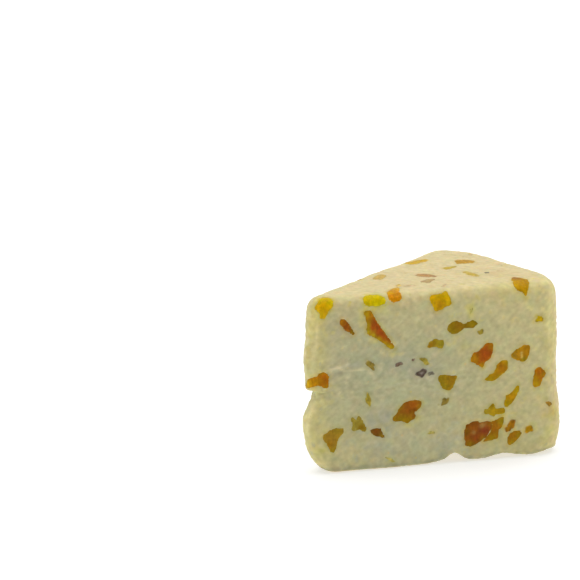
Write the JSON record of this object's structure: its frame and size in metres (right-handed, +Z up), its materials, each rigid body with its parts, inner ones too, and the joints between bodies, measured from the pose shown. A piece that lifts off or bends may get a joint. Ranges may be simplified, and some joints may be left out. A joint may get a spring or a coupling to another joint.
{
  "type": "white stilton with mango",
  "caption": "Wedge of pale crumbly cheese cut from a low round wheel, with pieces of candied mango and ginger set in its faces; a food item that rests flat on its base.",
  "frame": {"origin": "middle of the wedge's bounding box, on the surface it stands on", "axes": "+X along the front cut face from the tip to the rind, -Y out of the front cut face, +Z up"},
  "size_m": [0.0952, 0.0644, 0.0637],
  "materials": {
    "paste": "pale cream cheese, dull, a little translucent, warmer on top and paler at the rims",
    "mango_yellow": "candied mango, lemon yellow, moist and translucent",
    "mango_orange": "candied mango, orange to amber, moist and translucent",
    "mango_red": "candied mango, red brown, moist and translucent",
    "mango_ochre": "candied mango, ochre, moist and translucent",
    "ginger_olive": "candied ginger, olive brown, moist",
    "ginger_tan": "candied ginger, pale tan, moist"
  },
  "bodies": {
    "root": {"cheese": "paste", "front_yellow_corner": "mango_yellow", "front_lemon_bar": "mango_yellow", "front_orange_bead": "mango_orange", "front_ochre_square": "mango_ochre", "front_ochre_wedge": "mango_ochre", "front_red_sliver": "mango_red", "front_red_streak": "mango_red", "front_olive_pair": "ginger_olive", "front_olive_chip": "ginger_olive", "front_red_chunk": "mango_red", "front_amber_fan": "mango_orange", "front_ochre_spindle": "mango_ochre", "front_amber_block": "mango_orange", "front_ochre_spear": "mango_ochre", "front_olive_twin": "ginger_olive", "front_olive_trapezoid": "ginger_olive", "front_red_shard": "mango_red", "front_olive_ragged": "ginger_olive", "front_brown_triangle": "mango_red", "front_tan_lump": "ginger_tan", "front_dark_chunk": "mango_red", "front_amber_chunk": "mango_orange", "front_amber_oval": "mango_orange", "front_tip_chunk": "mango_orange", "top_orange_bar": "mango_orange", "top_amber_bar": "mango_orange", "top_yellow_sliver": "mango_yellow", "top_straw_chip": "mango_ochre", "top_rose_chip": "ginger_tan", "top_tan_chip": "ginger_tan", "top_ochre_chip": "mango_ochre", "back_edge_ochre": "mango_ochre", "back_edge_orange": "mango_orange", "rind_edge_yellow": "mango_yellow", "rind_edge_red": "mango_red", "back_01": "ginger_olive", "back_02": "mango_ochre", "back_03": "mango_red", "back_04": "mango_ochre", "back_05": "ginger_tan", "back_06": "mango_yellow", "back_07": "mango_orange", "back_08": "ginger_olive", "back_09": "mango_ochre", "back_10": "mango_red", "back_11": "mango_ochre", "back_12": "ginger_tan", "rind_01": "ginger_olive", "rind_02": "mango_ochre", "rind_03": "mango_red", "rind_04": "mango_ochre", "rind_05": "ginger_tan", "rind_06": "mango_yellow", "rind_07": "mango_orange", "foot_01": "ginger_olive", "foot_02": "mango_ochre", "foot_03": "mango_red", "foot_04": "mango_ochre"}
  },
  "joints": []
}
